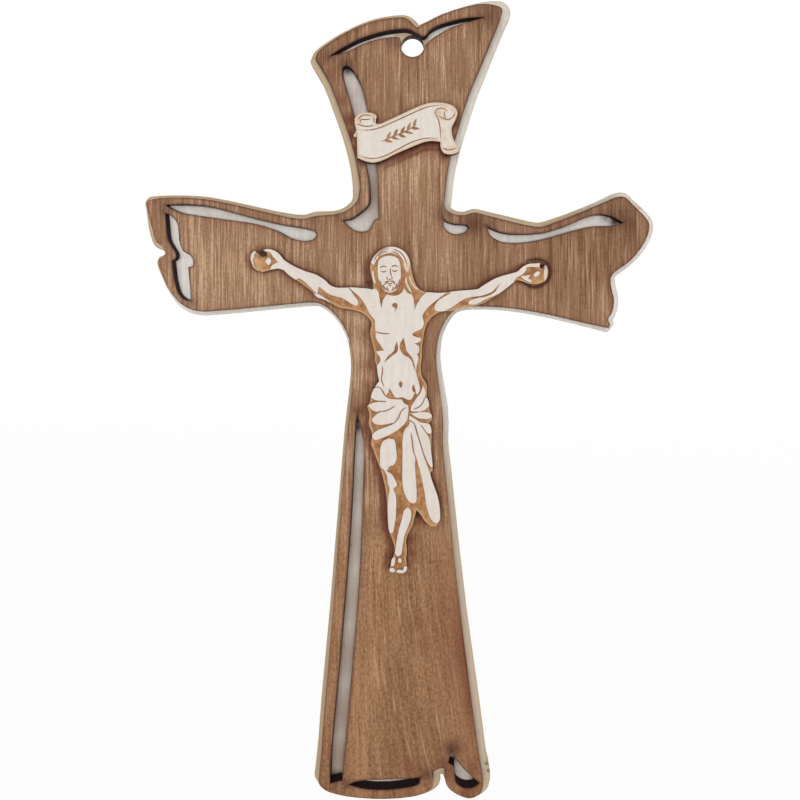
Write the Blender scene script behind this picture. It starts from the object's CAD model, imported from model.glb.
import math

import bmesh
import bpy
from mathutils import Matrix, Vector, kdtree
from mathutils.bvhtree import BVHTree
from mathutils.geometry import delaunay_2d_cdt

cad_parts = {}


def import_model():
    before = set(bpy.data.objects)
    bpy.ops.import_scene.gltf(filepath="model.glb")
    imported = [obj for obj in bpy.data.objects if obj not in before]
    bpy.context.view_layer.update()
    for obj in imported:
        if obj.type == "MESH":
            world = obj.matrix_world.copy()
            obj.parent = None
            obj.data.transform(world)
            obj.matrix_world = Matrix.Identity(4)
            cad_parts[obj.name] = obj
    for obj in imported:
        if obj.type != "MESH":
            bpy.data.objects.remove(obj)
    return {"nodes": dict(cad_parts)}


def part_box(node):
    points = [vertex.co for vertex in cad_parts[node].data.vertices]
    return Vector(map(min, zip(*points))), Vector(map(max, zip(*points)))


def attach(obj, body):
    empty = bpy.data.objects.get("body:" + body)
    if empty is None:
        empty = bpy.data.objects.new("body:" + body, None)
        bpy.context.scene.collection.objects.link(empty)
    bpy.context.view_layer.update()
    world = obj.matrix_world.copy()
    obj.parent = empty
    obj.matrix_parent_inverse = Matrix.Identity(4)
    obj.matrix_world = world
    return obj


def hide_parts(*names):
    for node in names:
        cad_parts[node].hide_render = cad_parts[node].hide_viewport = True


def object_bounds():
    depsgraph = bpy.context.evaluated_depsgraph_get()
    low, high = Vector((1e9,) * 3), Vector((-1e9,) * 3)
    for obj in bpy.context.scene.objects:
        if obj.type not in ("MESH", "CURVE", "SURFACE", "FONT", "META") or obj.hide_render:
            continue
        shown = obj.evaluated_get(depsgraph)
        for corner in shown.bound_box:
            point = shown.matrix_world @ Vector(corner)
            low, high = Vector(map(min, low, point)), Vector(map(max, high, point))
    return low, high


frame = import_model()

MM = 0.001
cad_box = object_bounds()

# Camera: it looks squarely at the board, from just below the middle of the arms
PICTURE_WIDTH = 250.8 * MM        # on the front board's face
CAMERA_DISTANCE = 235 * MM        # from that face
CAMERA_HEIGHT = -73.2 * MM
PICTURE_CENTRE_X = -3.92 * MM
PICTURE_CENTRE_Z = -112.1 * MM
SENSOR = 36.0
NEAREST_SEEN = 10 * MM

# Light and floor
LAMPS_LOOK_AT = (0, 0, -0.11)     # metres, about the middle of the cross
SKY_LIGHT = 0.22                  # a strength
FLOOR_HALF_WIDTH = 3.0            # metres

# Depths of the boards' front faces and of the figure's raised areas
BACK_FRONT_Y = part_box("back_board")[0][1]
BOARD_FRONT_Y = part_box("front_board")[0][1]
RAISED_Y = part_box("figure")[0][1]

# Marks below are placed as (x, z) in millimetres from the middle of the cross's arms
ARMS_HEIGHT = -68.2 * MM
LIP_WIDTH = 3.2                   # places on the back board this near to its rim count as its lip
BESIDE_OUTLINE = 3.4              # places on the front board this near to that rim count as its outline


def linear(red, green, blue):
    """A colour as it looks on a screen, 0 to 255, as the numbers that a shader takes."""
    def channel(value):
        value /= 255
        return value / 12.92 if value <= 0.04045 else ((value + 0.055) / 1.055) ** 2.4
    return (channel(red), channel(green), channel(blue), 1.0)


# Meshes: each piece is its solid with finer front faces, which carry its marks

LOOKS_FRONT = -0.99               # a face whose normal has less than this along Y looks to the front
SAME_CORNER = 1e-7                # metres within which two corners of a solid are one
SAME_SPOT = 1e-9                  # metres within which two points that fill a face are one
SAME_DEPTH = 0.01 * MM
SHARP_ANGLE = 0.8                 # radians between two faces at a sharp edge
MEASURING_STEP = 0.1 * MM         # between the points of a line to which distances are measured
ROW_CLEARANCE = 0.85              # a row's point keeps this share of its inset from every edge
GRID_CLEARANCE = 0.4              # share of the spacing between the last row and the first grid points


class Fineness:
    """How closely a piece's front faces are filled with points."""

    def __init__(self, spacing, insets, rim_step, worn):
        self.spacing = spacing * MM          # between points inside a face
        self.insets = [inset * MM for inset in insets]   # rows of points beside each edge
        self.rim_step = rim_step * MM        # between points along those rows
        self.worn = worn * MM                # how far the sharp front edges are worn back


BOARD_FINENESS = Fineness(spacing=1.1, insets=(0.3, 0.75), rim_step=0.6, worn=0.08)
FIGURE_FINENESS = Fineness(spacing=0.5, insets=(0.16, 0.36), rim_step=0.35, worn=0.05)


def front_regions(mesh):
    """The faces that look to the front, grouped by their depth."""
    regions = {}
    for face in mesh.faces:
        if face.normal.y < LOOKS_FRONT:
            depth = round(face.calc_center_median().y / MM, 2)
            regions.setdefault(depth, []).append(face)
    return regions


def grid_points(low, high, spacing):
    """Points of a grid of triangles over a box."""
    row_height = spacing * math.sqrt(3) / 2
    for row in range(int((high.y - low.y) / row_height) + 1):
        shift = 0.5 * spacing * (row % 2)
        for column in range(int((high.x - low.x) / spacing) + 1):
            yield low + Vector((column * spacing + shift, row * row_height))


def along(first, second, step):
    """Points on a line, from its first end up to but without its second."""
    count = max(1, math.ceil((second - first).length / step))
    return [first.lerp(second, number / count) for number in range(count)]


def line_tree(lines):
    """A function for the distance from a flat place to the nearest of some lines."""
    spots = [spot for first, second in lines for spot in along(first, second, MEASURING_STEP)]
    tree = kdtree.KDTree(len(spots))
    for number, spot in enumerate(spots):
        tree.insert((spot.x, spot.y, 0), number)
    tree.balance()
    return lambda place: tree.find((place.x, place.y, 0))[2]


def surface(faces):
    """Tells whether a place, seen squarely from the front, lies on one of the faces."""
    vertices = list({vertex for face in faces for vertex in face.verts})
    place = {vertex: number for number, vertex in enumerate(vertices)}
    triangles = [[place[vertex] for vertex in face.verts] for face in faces]
    tree = BVHTree.FromPolygons([vertex.co for vertex in vertices], triangles)
    inwards = Vector((0, 1, 0))
    # A ray through an edge that two faces share may miss both, so two more start a little beside it
    aside = 0.002 * MM
    nudges = [Vector((0, -MM, 0)), Vector((aside, -MM, 0)), Vector((0, -MM, aside))]
    return lambda spot: any(tree.ray_cast(spot + nudge, inwards, 2 * MM)[0] for nudge in nudges)


def refine_region(mesh, faces, fineness, guides):
    """Gives one flat region many evenly spaced points, closer beside its edges and some guide lines.

    The region's own edges stay as they are.
    """
    inside = set(faces)
    rim = [edge for face in faces for edge in face.edges
           if sum(other in inside for other in edge.link_faces) == 1]
    corners = list({vertex for edge in rim for vertex in edge.verts})
    place = {vertex: number for number, vertex in enumerate(corners)}
    depth = corners[0].co.y
    points = [Vector((vertex.co.x, vertex.co.z)) for vertex in corners]
    edges = [(place[edge.verts[0]], place[edge.verts[1]]) for edge in rim]
    rim_lines = [(points[first], points[second]) for first, second in edges]
    near_rim = line_tree(rim_lines)
    near_any = line_tree(rim_lines + guides)
    extra = []
    for first, second in rim_lines + guides:
        across = Vector((first.y - second.y, second.x - first.x)).normalized()
        for spot in along(first, second, fineness.rim_step):
            for inset in fineness.insets:
                extra += [candidate for candidate in (spot + across * inset, spot - across * inset)
                          if near_any(candidate) > ROW_CLEARANCE * inset]
    for first, second in guides:
        extra += [spot for spot in along(first, second, fineness.rim_step)
                  if near_rim(spot) > fineness.insets[0]]
    low = Vector((min(p.x for p in points), min(p.y for p in points)))
    high = Vector((max(p.x for p in points), max(p.y for p in points)))
    clear = fineness.insets[-1] + GRID_CLEARANCE * fineness.spacing
    extra += [spot for spot in grid_points(low, high, fineness.spacing) if near_any(spot) > clear]
    result = delaunay_2d_cdt(points + extra, edges, [], 0, SAME_SPOT)
    covered = surface(faces)
    bmesh.ops.delete(mesh, geom=faces, context="FACES_ONLY")
    made = {}
    for number, (spot, sources) in enumerate(zip(result[0], result[3])):
        known = [source for source in sources if source < len(corners)]
        made[number] = corners[known[0]] if known else mesh.verts.new((spot.x, depth, spot.y))
    for triangle in result[2]:
        ring = [made[number] for number in triangle]
        if covered((ring[0].co + ring[1].co + ring[2].co) / 3):
            mesh.faces.new(ring)
    return corners


def clean_copy(node):
    """A copy of a node's mesh whose faces share their points."""
    mesh = bmesh.new()
    mesh.from_mesh(frame["nodes"][node].data)
    bmesh.ops.remove_doubles(mesh, verts=mesh.verts, dist=SAME_CORNER)
    return mesh


def rim_lines(node, depth):
    """The sharp edges that a node has at one depth, as pairs of flat places."""
    mesh = clean_copy(node)
    lines = []
    for edge in mesh.edges:
        level = all(abs(vertex.co.y - depth) < SAME_DEPTH for vertex in edge.verts)
        if level and len(edge.link_faces) == 2 and edge.calc_face_angle() > SHARP_ANGLE:
            lines.append(tuple(Vector((vertex.co.x, vertex.co.z)) for vertex in edge.verts))
    mesh.free()
    return lines


def refined(node, name, fineness, guides=()):
    """A piece that stands for a node, with the same shape and finer front faces."""
    mesh = clean_copy(node)
    regions = front_regions(mesh)
    for depth, faces in regions.items():
        corners = refine_region(mesh, faces, fineness, list(guides))
        if depth == min(regions):
            for corner in corners:
                corner.co.y += fineness.worn
    loose = [vertex for vertex in mesh.verts if not vertex.link_faces]
    bmesh.ops.delete(mesh, geom=loose, context="VERTS")
    bmesh.ops.recalc_face_normals(mesh, faces=mesh.faces)
    data = bpy.data.meshes.new(name)
    mesh.to_mesh(data)
    mesh.free()
    piece = bpy.data.objects.new(name, data)
    bpy.context.scene.collection.objects.link(piece)
    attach(piece, "root")
    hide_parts(node)
    return piece


def rim_distance(node, depth):
    """A function for the distance in millimetres to a node's sharp rim at one depth, seen from the front."""
    nearest = line_tree(rim_lines(node, depth))
    return lambda x, z: nearest(Vector((x * MM, z * MM + ARMS_HEIGHT))) / MM


def set_attribute(piece, name, deepest, value_at):
    """Stores one number for each point of a piece, worked out from its x and z in millimetres.

    Points that lie deeper than a given depth keep 0.
    """
    attribute = piece.data.attributes.new(name, "FLOAT", "POINT")
    for vertex, item in zip(piece.data.vertices, attribute.data):
        if vertex.co.y < deepest:
            item.value = value_at(vertex.co.x / MM, (vertex.co.z - ARMS_HEIGHT) / MM)


def clamped(value):
    """A value kept between 0 and 1."""
    return max(0.0, min(1.0, value))


def soft(distance, reach):
    """1 at no distance, then falling like a bell, to about a third at its reach."""
    return math.exp(-((distance / reach) ** 2))


def trailing(distance, reach):
    """1 at no distance, then falling quickly at first, to about a third at its reach."""
    return math.exp(-distance / reach)


def blots(marks):
    """A function for the strongest of some soft round marks, each (x, z, reach, strength)."""
    def strength(x, z):
        return max(power * math.exp(-((x - mx) ** 2 + (z - mz) ** 2) / reach ** 2)
                   for mx, mz, reach, power in marks)
    return strength


def blend(marks):
    """A function for the sum of some soft round marks, whose strengths may be below zero."""
    def total(x, z):
        return sum(power * math.exp(-((x - mx) ** 2 + (z - mz) ** 2) / reach ** 2)
                   for mx, mz, reach, power in marks)
    return total


# Materials

class Nodes:
    """A short way to add shader nodes and link them."""

    def __init__(self, name):
        self.material = bpy.data.materials.new(name)
        self.material.use_nodes = True
        self.tree = self.material.node_tree
        self.shader = self.tree.nodes["Principled BSDF"]
        self.place = self.add("ShaderNodeTexCoord").outputs["Object"]

    def add(self, kind, **settings):
        """A new node with some of its settings."""
        node = self.tree.nodes.new(kind)
        for key, value in settings.items():
            setattr(node, key, value)
        return node

    def put(self, target, value):
        """Gives a socket a fixed value or a link."""
        if hasattr(value, "is_output"):
            self.tree.links.new(value, target)
        else:
            target.default_value = value

    def math(self, operation, first, second=0.0):
        node = self.add("ShaderNodeMath", operation=operation)
        self.put(node.inputs[0], first)
        self.put(node.inputs[1], second)
        return node.outputs[0]

    def total(self, *shares):
        """Sum of (weight, value) pairs."""
        result = self.math("MULTIPLY", shares[0][1], shares[0][0])
        for weight, value in shares[1:]:
            result = self.math("ADD", result, self.math("MULTIPLY", value, weight))
        return result

    def ramp(self, value, low, high, start=0.0, end=1.0):
        """A smooth change from start to end while the value goes from low to high."""
        node = self.add("ShaderNodeMapRange", interpolation_type="SMOOTHSTEP")
        for key, number in (("Value", value), ("From Min", low), ("From Max", high),
                            ("To Min", start), ("To Max", end)):
            self.put(node.inputs[key], number)
        return node.outputs[0]

    def mix(self, factor, first, second):
        node = self.add("ShaderNodeMix", data_type="RGBA")
        self.put(node.inputs[0], factor)
        self.put(node.inputs[6], first)
        self.put(node.inputs[7], second)
        return node.outputs[2]

    def axis(self, index):
        """The place along X, Y or Z, by its index."""
        split = self.add("ShaderNodeSeparateXYZ")
        self.put(split.inputs[0], self.place)
        return split.outputs[index]

    def noise(self, per_metre, detail=3.0, roughness=0.55, seed=0.0, place=None):
        """Noise whose waves along X, Y and Z are as many to the metre as given."""
        mapping = self.add("ShaderNodeMapping")
        self.put(mapping.inputs["Vector"], place or self.place)
        mapping.inputs["Scale"].default_value = per_metre
        mapping.inputs["Location"].default_value = (seed, seed * 0.7, seed * 1.3)
        node = self.add("ShaderNodeTexNoise")
        self.put(node.inputs["Vector"], mapping.outputs[0])
        node.inputs["Scale"].default_value = 1.0
        node.inputs["Detail"].default_value = detail
        node.inputs["Roughness"].default_value = roughness
        return node.outputs["Fac"]

    def specks(self, per_metre, radius, share):
        """1 in small round specks of a radius in cells, in a share of the cells."""
        mapping = self.add("ShaderNodeMapping")
        self.put(mapping.inputs["Vector"], self.place)
        mapping.inputs["Scale"].default_value = (per_metre, 0, per_metre)
        cells = self.add("ShaderNodeTexVoronoi")
        self.put(cells.inputs["Vector"], mapping.outputs[0])
        cells.inputs["Scale"].default_value = 1.0
        split = self.add("ShaderNodeSeparateColor")
        self.put(split.inputs[0], cells.outputs["Color"])
        chosen = self.math("LESS_THAN", split.outputs[0], share)
        size = self.math("MULTIPLY", split.outputs[1], radius)
        near = self.math("LESS_THAN", cells.outputs["Distance"], size)
        return self.math("MULTIPLY", chosen, near)

    def attribute(self, name):
        return self.add("ShaderNodeAttribute", attribute_name=name).outputs["Fac"]

    def flat(self):
        """1 on faces that look to the front or the back, 0 on the cut sides."""
        geometry = self.add("ShaderNodeNewGeometry")
        split = self.add("ShaderNodeSeparateXYZ")
        self.put(split.inputs[0], geometry.outputs["True Normal"])
        return self.ramp(self.math("ABSOLUTE", split.outputs[1]), 0.6, 0.9)

    def bump(self, height, depth):
        node = self.add("ShaderNodeBump")
        self.put(node.inputs["Height"], height)
        node.inputs["Distance"].default_value = depth
        self.put(self.shader.inputs["Normal"], node.outputs[0])

    def finish(self, colour, roughness, gloss):
        self.put(self.shader.inputs["Base Color"], colour)
        self.put(self.shader.inputs["Roughness"], roughness)
        self.shader.inputs["Specular IOR Level"].default_value = gloss
        return self.material


def leaning_grain(wood):
    """Places for the veneer's grain, which is upright but leans to the right low on the shaft."""
    down = wood.math("SUBTRACT", ARMS_HEIGHT - 50 * MM, wood.axis(2))
    down = wood.math("MAXIMUM", down, 0.0)
    lean = wood.math("MULTIPLY", wood.math("MULTIPLY", down, down), 0.9)
    lean = wood.math("MULTIPLY", lean, wood.ramp(wood.axis(0), -24 * MM, 12 * MM))
    across = wood.math("SUBTRACT", wood.axis(0), lean)
    joined = wood.add("ShaderNodeCombineXYZ")
    wood.put(joined.inputs[0], across)
    wood.put(joined.inputs[1], wood.axis(1))
    wood.put(joined.inputs[2], wood.axis(2))
    return joined.outputs[0]


def front_board_wood():
    """Brown-stained veneer, strongly streaked on the arms and head, quieter and warmer down the shaft."""
    wood = Nodes("front_board_wood")
    place = leaning_grain(wood)
    lines = wood.noise((2900, 300, 85), detail=2, roughness=0.6, place=place)
    streaks = wood.noise((1500, 200, 42), detail=2, roughness=0.6, seed=3.1, place=place)
    veins = wood.noise((1250, 100, 62), detail=2, roughness=0.5, seed=11.3, place=place)
    broad = wood.noise((70, 60, 9), detail=2, seed=7.7)
    mottle = wood.noise((1500, 200, 800), detail=3, roughness=0.7, seed=5.2)
    tone = wood.total((0.36, lines), (0.3, streaks), (0.12, broad), (0.22, mottle))
    tone = wood.math("ADD", tone, wood.math("MULTIPLY", wood.attribute("paleness"), 0.1))
    upper = wood.mix(wood.ramp(tone, 0.36, 0.5), linear(111, 77, 53), linear(150, 114, 86))
    upper = wood.mix(wood.ramp(tone, 0.5, 0.64), upper, linear(200, 166, 135))
    quiet = wood.total((0.2, lines), (0.14, streaks), (0.24, broad), (0.42, mottle))
    quiet = wood.math("ADD", quiet, wood.math("MULTIPLY", wood.attribute("paleness"), 0.06))
    lower = wood.mix(wood.ramp(quiet, 0.34, 0.66), linear(116, 77, 50), linear(188, 146, 108))
    down_the_shaft = wood.ramp(wood.axis(2), ARMS_HEIGHT - 60 * MM, ARMS_HEIGHT - 100 * MM)
    colour = wood.mix(down_the_shaft, upper, lower)
    thin_veins = wood.math("MULTIPLY", wood.ramp(veins, 0.58, 0.72), 0.6)
    colour = wood.mix(thin_veins, colour, linear(196, 158, 124))
    stain = wood.math("MULTIPLY", wood.attribute("stain"), wood.ramp(streaks, 0.3, 0.6, 0.8, 1.0))
    colour = wood.mix(stain, colour, linear(104, 42, 32))
    colour = wood.mix(wood.attribute("scorch"), colour, linear(58, 32, 32))
    dust = wood.math("MULTIPLY", wood.specks(170, 0.06, 0.2), 0.6)
    colour = wood.mix(dust, colour, linear(222, 205, 190))
    side = wood.mix(lines, linear(40, 28, 33), linear(62, 44, 46))
    colour = wood.mix(wood.flat(), side, colour)
    wood.bump(tone, 0.05 * MM)
    return wood.finish(colour, wood.ramp(tone, 0.3, 0.7, 0.78, 0.66), 0.1)


def back_board_wood():
    """Pale birch, with plywood stripes and soot on its cut sides."""
    wood = Nodes("back_board_wood")
    lines = wood.noise((1100, 300, 30), detail=3, roughness=0.6)
    broad = wood.noise((60, 60, 14), detail=2, seed=2.0)
    mottle = wood.noise((700, 300, 500), detail=3, roughness=0.6, seed=6.1)
    tone = wood.total((0.3, lines), (0.4, broad), (0.3, mottle))
    colour = wood.mix(wood.ramp(tone, 0.35, 0.65), linear(216, 208, 199), linear(238, 233, 226))
    colour = wood.mix(wood.attribute("tan"), colour, linear(190, 161, 122))
    colour = wood.mix(wood.attribute("haze"), colour, linear(146, 116, 94))
    colour = wood.mix(wood.attribute("burn"), colour, linear(62, 42, 36))
    ply = 1.3 * MM
    stripes = wood.math("PINGPONG", wood.math("MULTIPLY", wood.axis(1), 1 / ply), 1.0)
    side = wood.mix(wood.ramp(stripes, 0.4, 0.6), linear(96, 66, 46), linear(150, 118, 86))
    side = wood.mix(wood.ramp(lines, 0.4, 0.7), side, linear(60, 42, 36))
    colour = wood.mix(wood.flat(), side, colour)
    wood.bump(tone, 0.04 * MM)
    return wood.finish(colour, 0.72, 0.12)


def engraved_wood():
    """Pale raised areas with singed rims, over an engraved floor that is burnt brown."""
    wood = Nodes("engraved_wood")
    lines = wood.noise((1000, 300, 45), detail=3, roughness=0.6)
    blotches = wood.noise((620, 300, 480), detail=3, roughness=0.65, seed=4.0)
    jagged = wood.noise((1800, 300, 1800), detail=2, roughness=0.6, seed=1.7)
    wide = wood.noise((90, 90, 60), detail=2, seed=9.0)
    pale = wood.mix(wood.ramp(wood.total((0.5, lines), (0.5, blotches)), 0.3, 0.7),
                    linear(218, 207, 197), linear(228, 219, 210))
    tone = wood.total((0.65, blotches), (0.35, wide))
    burnt = wood.mix(wood.ramp(tone, 0.36, 0.64), linear(150, 99, 62), linear(196, 150, 106))
    ragged = wood.math("ADD", wood.attribute("outline_distance"), wood.math("MULTIPLY", blotches, 1.6))
    near_outline = wood.ramp(ragged, 0.7, 1.7, 0.6, 0.0)
    burnt = wood.mix(near_outline, burnt, linear(214, 180, 134))
    near_step = wood.ramp(wood.attribute("step_distance"), 0.0, 0.4, 0.3, 0.0)
    burnt = wood.mix(near_step, burnt, linear(140, 88, 54))
    raised = wood.ramp(wood.axis(1), RAISED_Y + 0.12 * MM, RAISED_Y + 0.35 * MM, 1.0, 0.0)
    colour = wood.mix(raised, burnt, pale)
    singed = wood.math("ADD", wood.attribute("step_distance"), wood.math("MULTIPLY", jagged, 0.55))
    singed = wood.math("MULTIPLY", wood.ramp(singed, 0.2, 0.42, 0.75, 0.0), raised)
    colour = wood.mix(singed, colour, linear(196, 152, 110))
    tint = wood.math("MULTIPLY", wood.attribute("tint"), wood.ramp(jagged, 0.35, 0.55, 0.7, 1.0))
    colour = wood.mix(tint, colour, linear(208, 170, 124))
    colour = wood.mix(wood.attribute("soot"), colour, linear(52, 30, 34))
    side = wood.mix(wood.ramp(blotches, 0.35, 0.65), linear(66, 38, 32), linear(120, 78, 54))
    colour = wood.mix(wood.flat(), side, colour)
    wood.bump(wood.total((0.6, lines), (0.4, blotches)), 0.03 * MM)
    return wood.finish(colour, 0.75, 0.1)


# Marks, each (x, z, reach, strength) with the first three in millimetres

# Dark smoke that the cutting beam left on the front board
SCORCH_MARKS = [
    (24.4, 76.9, 4.5, 0.5), (27, 78, 2.5, 0.35), (-26.0, 63.8, 2.6, 0.5), (-21.2, 61.2, 2.8, 0.55),
    (-6.0, 68.4, 2.4, 0.4), (9.6, 14.6, 3.0, 0.55), (19.4, 11.4, 3.6, 0.65), (23.0, 10.6, 2.6, 0.4),
    (-23.0, 14.1, 2.2, 0.35), (-31.5, 12.2, 2.0, 0.3), (64.5, 13.2, 4.5, 0.5), (68, 11.6, 2.6, 0.35),
    (-77.5, 16.2, 2.2, 0.4), (-74.4, -0.6, 2.0, 0.3), (-69.2, -13.4, 2.0, 0.35),
    (-17.4, -47.4, 1.4, 0.5), (12.3, -153.2, 2.6, 0.75), (10.4, -157.4, 2.6, 0.5),
    (4.6, -161.2, 2.4, 0.6), (-20.8, -164.2, 2.2, 0.5), (-24.2, -165.2, 2.2, 0.45),
    (-47.0, 2.4, 1.7, 0.97), (-45.8, 1.6, 1.3, 0.9), (40.9, -2.0, 1.3, 0.95),
    (-13.7, -7.2, 1.8, 0.75), (-14.4, -4.2, 1.6, 0.4), (1.7, -79.4, 1.5, 1.0),
]

# Reddish stain on the front board
STAIN_MARKS = [
    # beside the figure and its feet
    (-14.2, -20, 1.8, 0.4), (-13.2, -26, 1.9, 0.5), (-13.2, -33, 2.2, 0.6), (-14.4, -39, 2.0, 0.5),
    (-16.0, -47.2, 2.2, 0.7), (-14.4, -53, 2.4, 0.8), (-14.6, -58, 2.0, 0.5), (6, -34, 2.0, 0.35),
    (2.8, -81.4, 2.2, 0.7), (-0.8, -87.6, 2.0, 0.8), (-0.4, -92, 2.2, 0.7),
    # beside the scroll and up the head's left side
    (-19.6, 44, 2.5, 0.9), (-19.0, 39, 2.3, 0.95), (-18.6, 34.5, 2.1, 0.8), (-22, 50, 2.6, 0.5),
    (-26, 58, 3.2, 0.45), (-30, 63, 3.2, 0.5), (8.6, 34.8, 1.7, 0.9), (13.2, 42.5, 1.9, 0.8),
    (12.8, 38, 1.6, 0.7),
    # down the shaft
    (9.6, -82, 3.0, 0.35), (9.4, -96, 3.0, 0.25), (11.4, -116, 3.0, 0.3), (1.7, -114, 3.0, 0.35),
    (3.6, -120, 3.2, 0.3),
    # on the foot, most of all its right lobe
    (1, -160, 6, 0.35), (14, -154, 6, 0.4), (18, -165, 5, 0.45), (-2, -166, 5, 0.3),
    (11, -161, 4.5, 0.6), (18.5, -159, 4, 0.5), (17, -167, 3.5, 0.6),
    # on the right arm and in the crook below it
    (20, -22, 4.0, 0.35), (31, -12.6, 3.0, 0.3), (36, 2.5, 4.0, 0.25), (57, 15.6, 4, 0.3),
]

# Places where the veneer is paler or, below zero, darker than the rest
TONE_MARKS = [
    (-62, 2, 16, 0.35), (-48, -10, 14, 0.3), (-36, 4, 12, 0.35), (-4, 28, 12, 0.5), (-70, -8, 10, 0.3),
    (45, 5, 18, -0.25), (66, 6, 12, -0.6), (24, 2, 10, -0.2), (-24, 66, 8, -0.2), (20, 70, 10, -0.3),
    (0, 14, 10, -0.1), (-20, -60, 6, 0.6), (-24, -85, 6, 0.6), (-26, -110, 6, 0.7), (-27, -135, 8, 0.7),
    (-17.5, -8, 5, 0.8), (-17, -18, 4, 1.1), (-17, -28, 4, 1.1), (-17.5, -38, 4, 0.9), (-8, -150, 18, -0.4),
    (6, -120, 12, -0.1), (-15, -60, 4, 0.8), (-14.5, -75, 4, 0.9), (-14, -90, 5, 0.7), (-23, -72, 4, 0.5),
]

# Brown haze on the back board, seen through the front board's slots
HAZE_MARKS = [
    (-11.5, 22, 11, 0.75), (-15, 36, 6, 0.55), (-19, 52, 8, 0.4), (-17.5, -54, 12, 0.62),
    (-19, -72, 14, 0.6), (-20.5, -90, 14, 0.6), (-21.4, -108, 14, 0.64), (-22.4, -126, 14, 0.7),
    (-23.6, -144, 14, 0.76), (-24.4, -158, 12, 0.76), (15, -161, 6, 0.5), (-3, -163, 10, 0.4),
]

# Small dark spots on the back board's lower right lip and behind the long slot
SPOT_MARKS = [
    (23.6, -160.4, 0.5, 0.95), (24.1, -162.7, 0.5, 0.95),
    (-19.9, -90.8, 0.4, 0.8), (-18.6, -123.4, 0.35, 0.5),
]

# Soot on the back board behind the ends of the slots
SLOT_SOOT_MARKS = [
    (-17.2, -49.0, 1.6, 1.0), (-17.4, -51.2, 1.5, 1.0), (-17.6, -53.2, 1.4, 0.95),
    (-24.9, -164.2, 1.5, 1.0), (-23.3, -164.2, 1.5, 1.0),
    (12.4, -156.4, 1.9, 1.0), (13.1, -158.7, 1.5, 1.0), (20.0, -165.0, 1.8, 0.9),
    (-20.5, 60.6, 1.8, 0.9), (64.4, 12.4, 1.9, 1.0), (61.6, 13.6, 1.6, 0.6),
]

# Soot on the figure's palms and in the gaps between its fingers
SOOT_MARKS = [(-46.8, 1.7, 1.1, 0.95), (-45.6, 1.3, 0.7, 0.9), (40.5, -2.4, 0.7, 0.85)]

# Places of the figure that the beam has singed to tan: its palms, their rims and its hair
FIGURE_TINT_MARKS = [
    (-48.6, -0.4, 1.5, 0.9), (-48.0, -2.8, 1.6, 0.9), (-46.6, -4.4, 1.4, 0.8), (-44.6, -4.2, 1.0, 0.6),
    (42.2, -4.0, 1.3, 0.7), (41.6, -6.0, 1.5, 0.7), (39.4, -7.2, 1.3, 0.6),
    (-1.2, -2.0, 2.0, 0.55), (-0.2, -7.0, 2.0, 0.55), (-12.6, -2, 1.4, 0.35),
]

# The same on the scroll: the ends of its two rolls and the left side of its tail
SCROLL_TINT_MARKS = [
    (-17.2, 44.0, 1.3, 0.7), (-15.8, 45.7, 1.3, 0.7), (-13.6, 46.0, 1.3, 0.7), (-12.0, 44.6, 1.2, 0.7),
    (-16.2, 42.6, 1.0, 0.5), (8.0, 45.6, 1.2, 0.7), (10.0, 47.6, 1.2, 0.6), (12.8, 46.8, 1.2, 0.6),
    (9.4, 44.0, 1.0, 0.6), (9.4, 40.0, 0.8, 0.6), (9.8, 37.4, 0.8, 0.6), (12.0, 34.2, 1.3, 0.6),
]


# Pieces

SMEAR_STEPS = (0, 0.25, 0.5, 0.75, 1)
SMEAR_LOSS = 0.35                 # millimetres by which smoke seems further away at the end of its smear


def smeared(distance, across, up):
    """Distance to a piece on the board, shorter on the side to which its smoke was blown."""
    def nearest(x, z):
        return min(distance(x - share * across, z - share * up) + SMEAR_LOSS * share
                   for share in SMEAR_STEPS)
    return nearest


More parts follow.
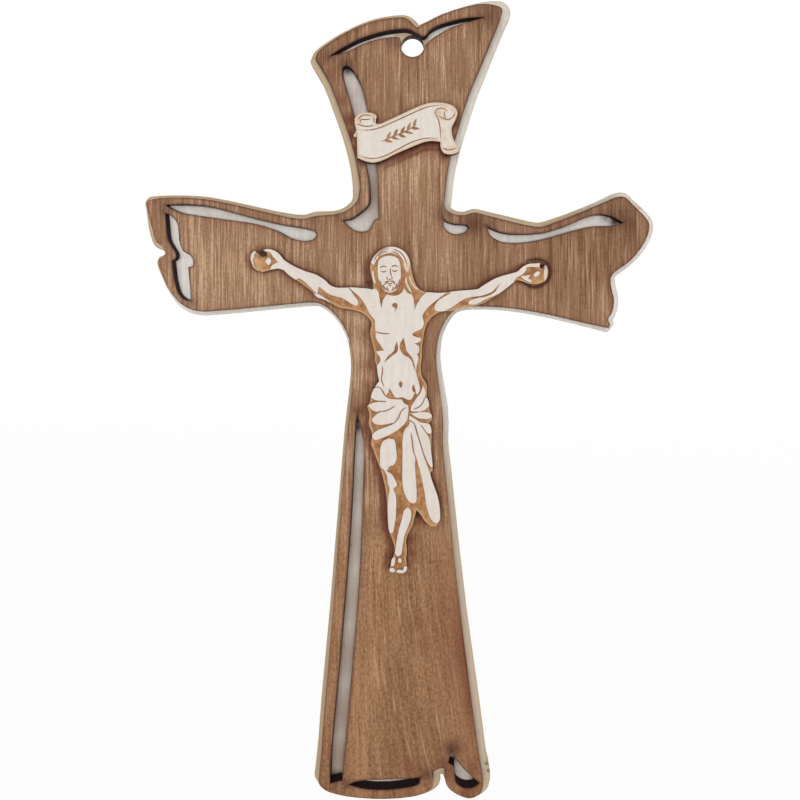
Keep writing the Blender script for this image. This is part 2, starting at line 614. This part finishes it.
def front_board():
    seats = rim_lines("figure", BOARD_FRONT_Y) + rim_lines("scroll", BOARD_FRONT_Y)
    piece = refined("front_board", "brown_front_board", BOARD_FINENESS, seats)
    own_edge = rim_distance("front_board", BOARD_FRONT_Y)
    back_edge = rim_distance("back_board", BACK_FRONT_Y)
    to_figure = rim_distance("figure", BOARD_FRONT_Y)
    to_scroll = rim_distance("scroll", BOARD_FRONT_Y)
    figure_edge = smeared(to_figure, -1.4, 0)
    left_of_figure = smeared(to_figure, -2.0, 0)
    scroll_edge = smeared(to_scroll, -0.5, -0.9)
    below_scroll = smeared(to_scroll, 0, -2.4)
    smoke = blots(SCORCH_MARKS)
    stain = blots(STAIN_MARKS)

    def under_scroll(x, z):
        """The dark band below the scroll."""
        half_width = 10.5
        return math.exp(-((below_scroll(x, z) / 0.8) ** 2) - (x / half_width) ** 4)

    def smoked_left(x, z):
        """Smoke to the left of the figure's legs and, a little less, of its hair."""
        legs = math.exp(-(((z + 74) / 25) ** 6))
        hair = 0.85 * math.exp(-(((z + 4) / 7) ** 4))
        return 0.95 * max(legs, hair) * soft(left_of_figure(x, z), 0.8)

    def cut_edge(x, z):
        """The scorched cut, faint on the outline down the shaft and at the left arm's end."""
        on_outline = back_edge(x, z) < BESIDE_OUTLINE
        strength = 0.2 if on_outline and (z < -24 or x < -74) else 0.75
        return strength * soft(own_edge(x, z), 0.33) * max(0.0, 1 - 2 * under_scroll(x, z))

    def scorch(x, z):
        beside_figure = 0.4 * trailing(figure_edge(x, z), 0.35)
        beside_scroll = 0.75 * trailing(scroll_edge(x, z), 0.45)
        return min(0.95, max(smoke(x, z), cut_edge(x, z), beside_figure, beside_scroll))

    def reddish(x, z):
        around = 0.75 * trailing(min(figure_edge(x, z), scroll_edge(x, z)), 0.8)
        from_edge = own_edge(x, z)
        beside_edge = 0.35 * trailing(from_edge, 1.1)
        low_right = 0.9 * math.exp(-from_edge / 5 - ((z + 125) / 28) ** 2) if x > 5 else 0.0
        smoked = max(0.9 * under_scroll(x, z), smoked_left(x, z))
        return min(0.95, max(stain(x, z), around, beside_edge, low_right, smoked))

    deepest = BOARD_FRONT_Y + 1 * MM
    set_attribute(piece, "scorch", deepest, scorch)
    set_attribute(piece, "stain", deepest, reddish)
    set_attribute(piece, "paleness", deepest, blend(TONE_MARKS))
    piece.data.materials.append(front_board_wood())


def back_board():
    walls = rim_lines("front_board", BACK_FRONT_Y)
    # Short guide lines give the small dark spots enough points
    spots = [(Vector((x * MM, z * MM + ARMS_HEIGHT)), Vector((x * MM, (z + reach) * MM + ARMS_HEIGHT)))
             for x, z, reach, _ in SPOT_MARKS]
    piece = refined("back_board", "pale_back_board", BOARD_FINENESS, walls + spots)
    own_edge = rim_distance("back_board", BACK_FRONT_Y)
    wall = rim_distance("front_board", BACK_FRONT_Y)
    haze = blots(HAZE_MARKS)
    dark = blots(SPOT_MARKS + SLOT_SOOT_MARKS)

    def lip_tan(x, z):
        """How brown the lip is: pale under the arms, at the right arm's end and right of the head."""
        under_left_arm = x < -18 and -26 < z < -9
        right_side = x > 5 and z < 8 and not (x < 11.5 and z < -150)
        right_arm_end = x > 64 and z < 16
        right_of_head = x > 5 and z > 15
        if under_left_arm:
            return 0.0
        if right_side:
            return 0.6 * clamped((-35 - z) / 40)
        if right_arm_end:
            return 0.15
        if right_of_head:
            return 0.2 + 0.55 * clamped((19 - z) / 4)
        return 0.75

    def tan(x, z):
        from_edge = own_edge(x, z)
        on_lip = lip_tan(x, z) if from_edge < LIP_WIDTH else 0.0
        return min(1.0, on_lip + 0.4 * soft(from_edge, 0.35))

    def burn(x, z):
        strength = 0.16 if own_edge(x, z) < LIP_WIDTH else 0.42
        return max(dark(x, z), strength * soft(wall(x, z), 0.2))

    def slot_haze(x, z):
        """The haze shows in the slots, not on the lip."""
        return haze(x, z) if own_edge(x, z) > LIP_WIDTH else 0.0

    deepest = BACK_FRONT_Y + 1 * MM
    set_attribute(piece, "tan", deepest, tan)
    set_attribute(piece, "haze", deepest, slot_haze)
    set_attribute(piece, "burn", deepest, burn)
    piece.data.materials.append(back_board_wood())


def engraved_piece(node, name, material, border, marks):
    """The figure or the scroll, with a tan border of a given strength and some singed marks."""
    piece = refined(node, name, FIGURE_FINENESS)
    outline = rim_distance(node, BOARD_FRONT_Y)
    step = rim_distance(node, RAISED_Y)
    singed = blots(marks)

    def tint(x, z):
        return max(singed(x, z), border * soft(outline(x, z), 0.6))

    deepest = BOARD_FRONT_Y - 0.5 * MM
    set_attribute(piece, "outline_distance", deepest, outline)
    set_attribute(piece, "step_distance", deepest, step)
    set_attribute(piece, "tint", deepest, tint)
    set_attribute(piece, "soot", deepest, blots(SOOT_MARKS))
    piece.data.materials.append(material)


def dried_glue():
    glue = Nodes("dried_glue")
    lumps = glue.noise((2500, 2500, 2500), detail=2)
    colour = glue.mix(lumps, linear(206, 188, 178), linear(238, 228, 220))
    glue.bump(lumps, 0.05 * MM)
    return glue.finish(colour, 0.35, 0.4)


def glue_drop():
    """The drop of glue that was pressed out at the scroll's left side: two round lumps run into one."""
    mesh = bmesh.new()
    lumps = [(-17.95, 39.1, 0.5), (-17.6, 40.0, 0.35)]
    unevenness = 0.12
    flatness = 0.7
    tallness = 1.3
    for x, z, radius in lumps:
        made = bmesh.ops.create_icosphere(mesh, subdivisions=3, radius=radius * MM)
        for vertex in made["verts"]:
            swell = 1 + unevenness * math.sin(vertex.co.z / MM * 7) * math.cos(vertex.co.x / MM * 9)
            vertex.co = Vector((vertex.co.x * swell, vertex.co.y * flatness, vertex.co.z * tallness))
            vertex.co += Vector((x * MM, BOARD_FRONT_Y, z * MM + ARMS_HEIGHT))
    for face in mesh.faces:
        face.smooth = True
    data = bpy.data.meshes.new("glue_drop")
    mesh.to_mesh(data)
    mesh.free()
    data.materials.append(dried_glue())
    piece = bpy.data.objects.new("glue_drop", data)
    bpy.context.scene.collection.objects.link(piece)
    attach(piece, "root")


# Floor, light and camera

def floor():
    """A pale floor under the cross, white to the camera but for a trace of the cross's shadow."""
    size = FLOOR_HALF_WIDTH
    level = cad_box[0][2]
    data = bpy.data.meshes.new("floor")
    corners = [(-size, -size, level), (size, -size, level), (size, size, level), (-size, size, level)]
    data.from_pydata(corners, [], [(0, 1, 2, 3)])
    plane = bpy.data.objects.new("floor", data)
    bpy.context.scene.collection.objects.link(plane)
    pale = Nodes("pale_floor")
    pale.shader.inputs["Base Color"].default_value = (0.9, 0.9, 0.9, 1)
    pale.shader.inputs["Roughness"].default_value = 0.9
    white = pale.add("ShaderNodeEmission")
    white.inputs["Strength"].default_value = 1.0
    rays = pale.add("ShaderNodeLightPath")
    seen = pale.math("MAXIMUM", rays.outputs["Is Camera Ray"], rays.outputs["Is Glossy Ray"])
    reach = pale.add("ShaderNodeVectorMath", operation="LENGTH")
    pale.put(reach.inputs[0], pale.place)
    whiteness = pale.ramp(reach.outputs["Value"], 0.1, 1.5, 0.96, 1.0)
    mix = pale.add("ShaderNodeMixShader")
    pale.put(mix.inputs[0], pale.math("MULTIPLY", seen, whiteness))
    pale.put(mix.inputs[1], pale.shader.outputs[0])
    pale.put(mix.inputs[2], white.outputs[0])
    pale.put(pale.tree.nodes["Material Output"].inputs["Surface"], mix.outputs[0])
    data.materials.append(pale.material)


def world():
    """Weak light from all round, which the camera and glossy surfaces see as white."""
    sky = bpy.data.worlds.new("studio")
    bpy.context.scene.world = sky
    sky.use_nodes = True
    tree = sky.node_tree
    light = tree.nodes["Background"]
    light.inputs["Color"].default_value = (1, 1, 1, 1)
    light.inputs["Strength"].default_value = SKY_LIGHT
    white = tree.nodes.new("ShaderNodeBackground")
    white.inputs["Color"].default_value = (1, 1, 1, 1)
    white.inputs["Strength"].default_value = 1.0
    rays = tree.nodes.new("ShaderNodeLightPath")
    either = tree.nodes.new("ShaderNodeMath")
    either.operation = "MAXIMUM"
    tree.links.new(rays.outputs["Is Camera Ray"], either.inputs[0])
    tree.links.new(rays.outputs["Is Glossy Ray"], either.inputs[1])
    mix = tree.nodes.new("ShaderNodeMixShader")
    tree.links.new(either.outputs[0], mix.inputs[0])
    tree.links.new(light.outputs[0], mix.inputs[1])
    tree.links.new(white.outputs[0], mix.inputs[2])
    tree.links.new(mix.outputs[0], tree.nodes["World Output"].inputs["Surface"])


def lamp(name, place, size, power):
    """A round lamp that looks at the middle of the cross, in metres and watts."""
    data = bpy.data.lights.new(name, "AREA")
    data.shape = "DISK"
    data.size = size
    data.energy = power
    lamp_object = bpy.data.objects.new(name, data)
    lamp_object.location = place
    aim = Vector(LAMPS_LOOK_AT) - Vector(place)
    lamp_object.rotation_euler = aim.to_track_quat("-Z", "Y").to_euler()
    bpy.context.scene.collection.objects.link(lamp_object)


def lights():
    lamp("key", place=(0.22, -1.2, -0.25), size=0.5, power=7.9)
    lamp("front", place=(-0.2, -1.3, 0.1), size=0.8, power=7.8)
    lamp("behind", place=(0.2, 1.2, 0.5), size=0.9, power=8.0)


def camera():
    data = bpy.data.cameras.new("camera")
    data.sensor_width = SENSOR
    data.lens = SENSOR * CAMERA_DISTANCE / PICTURE_WIDTH
    data.shift_x = PICTURE_CENTRE_X / PICTURE_WIDTH
    data.shift_y = (PICTURE_CENTRE_Z - CAMERA_HEIGHT) / PICTURE_WIDTH
    data.clip_start = NEAREST_SEEN
    viewer = bpy.data.objects.new("camera", data)
    viewer.location = (0, BOARD_FRONT_Y - CAMERA_DISTANCE, CAMERA_HEIGHT)
    viewer.rotation_euler = (math.pi / 2, 0, 0)
    bpy.context.scene.collection.objects.link(viewer)
    bpy.context.scene.camera = viewer


camera()
world()
lights()
floor()
back_board()
front_board()
pale_wood = engraved_wood()
engraved_piece("figure", "engraved_figure", pale_wood, 0.0, FIGURE_TINT_MARKS)
engraved_piece("scroll", "engraved_scroll", pale_wood, 0.7, SCROLL_TINT_MARKS)
glue_drop()

bpy.context.scene.view_settings.view_transform = "Standard"
